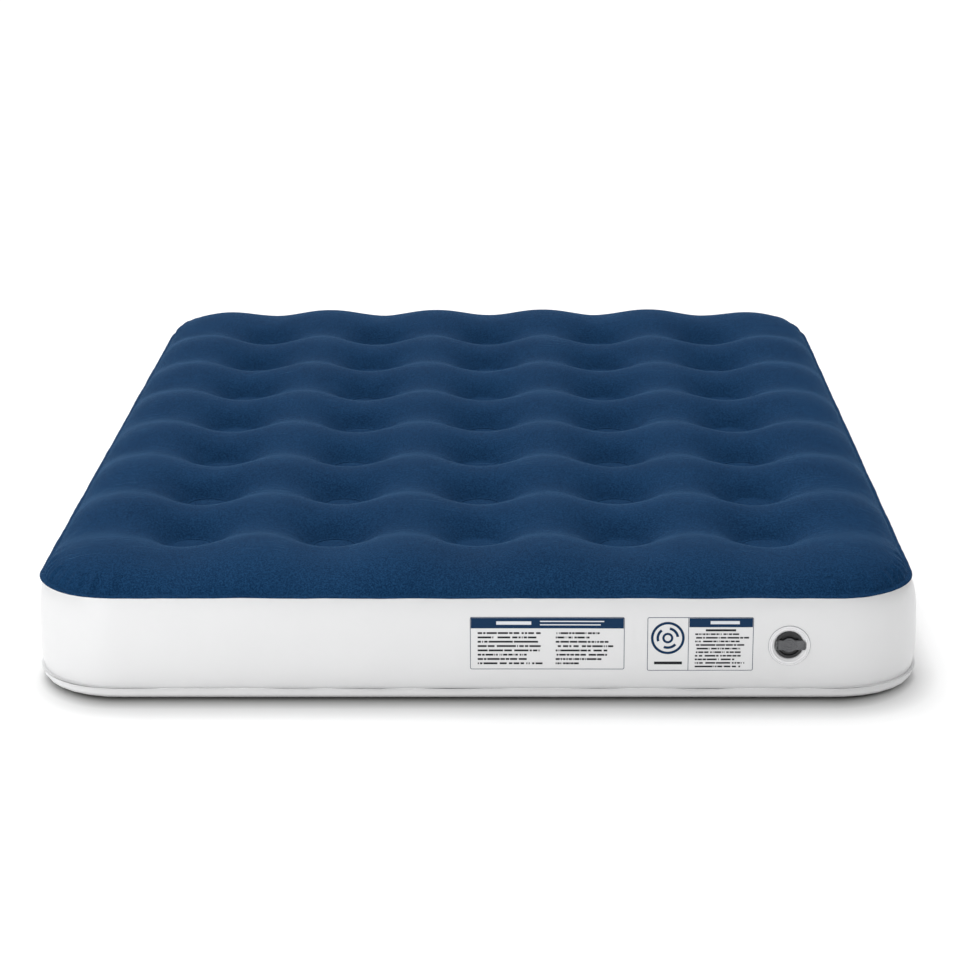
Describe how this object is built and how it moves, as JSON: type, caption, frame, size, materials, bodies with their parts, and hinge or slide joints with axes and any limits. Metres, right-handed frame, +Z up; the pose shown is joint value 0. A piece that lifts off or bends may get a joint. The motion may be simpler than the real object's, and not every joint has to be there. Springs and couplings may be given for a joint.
{
  "type": "air mattress",
  "caption": "Rectangular inflatable bed with a quilted flocked top, smooth vinyl side wall, internal coil beams and a recessed screw-in valve with a strap-held stopper.",
  "frame": {"origin": "on the floor under the middle of the mattress", "axes": "+Z up, +Y towards the head end, +X to the right for someone facing the valve end, whose wall faces -Y"},
  "size_m": [1.536, 2.049, 0.2465],
  "materials": {
    "flocked_top": "short velvet flock on vinyl",
    "white_vinyl": "satin soft vinyl sheet",
    "beam_vinyl": "plain vinyl sheet",
    "valve_white": "moulded white vinyl",
    "valve_black": "moulded black plastic",
    "smoke_clear": "soft smoke-grey translucent vinyl",
    "soft_rubber": "soft moulded rubber"
  },
  "bodies": {
    "mattress": {"top_sheet": "flocked_top", "side_wall": "white_vinyl", "bottom_sheet": "white_vinyl", "valve_base": "valve_white", "coil_beam_01": "beam_vinyl", "coil_beam_02": "beam_vinyl", "coil_beam_03": "beam_vinyl", "coil_beam_04": "beam_vinyl", "coil_beam_05": "beam_vinyl", "coil_beam_06": "beam_vinyl", "coil_beam_07": "beam_vinyl", "coil_beam_08": "beam_vinyl", "coil_beam_09": "beam_vinyl", "coil_beam_10": "beam_vinyl", "coil_beam_11": "beam_vinyl", "coil_beam_12": "beam_vinyl", "coil_beam_13": "beam_vinyl", "coil_beam_14": "beam_vinyl", "coil_beam_15": "beam_vinyl", "coil_beam_16": "beam_vinyl", "coil_beam_17": "beam_vinyl", "coil_beam_18": "beam_vinyl", "coil_beam_19": "beam_vinyl", "coil_beam_20": "beam_vinyl", "coil_beam_21": "beam_vinyl", "coil_beam_22": "beam_vinyl", "coil_beam_23": "beam_vinyl", "coil_beam_24": "beam_vinyl", "coil_beam_25": "beam_vinyl", "coil_beam_26": "beam_vinyl", "coil_beam_27": "beam_vinyl", "coil_beam_28": "beam_vinyl", "coil_beam_29": "beam_vinyl", "coil_beam_30": "beam_vinyl", "coil_beam_31": "beam_vinyl", "coil_beam_32": "beam_vinyl", "coil_beam_33": "beam_vinyl", "coil_beam_34": "beam_vinyl", "coil_beam_35": "beam_vinyl"},
    "seal": {"seal_ring": "soft_rubber"},
    "insert": {"valve_insert": "valve_black", "strap_anchor": "smoke_clear", "flap_pin": "valve_black"},
    "stopper": {"stopper": "smoke_clear"},
    "flap": {"check_flap": "soft_rubber"}
  },
  "joints": [
    {"name": "insert_rise", "type": "slide", "parent": "mattress", "child": "seal", "axis": [0, -1, 0], "range_m": [0, 0.0271]},
    {"name": "insert_turn", "type": "hinge", "parent": "seal", "child": "insert", "pos_m": [0.54, -1.023, 0.101], "axis": [0, -1, 0], "range_deg": [0, 2160]},
    {"name": "stopper_fold", "type": "hinge", "parent": "insert", "child": "stopper", "pos_m": [0.5205, -1.0215, 0.101], "axis": [0, 0, -1], "range_deg": [0, 150]},
    {"name": "flap_swing", "type": "hinge", "parent": "insert", "child": "flap", "pos_m": [0.54, -1.002, 0.1146], "axis": [1, 0, 0], "range_deg": [0, 55], "stiffness_Nm_per_rad": 0.0002, "springref_deg": -11.46}
  ],
  "couplings": [
    {"joint": "insert_rise", "follows": "insert_turn", "m_per_rad": 0.0007162}
  ]
}
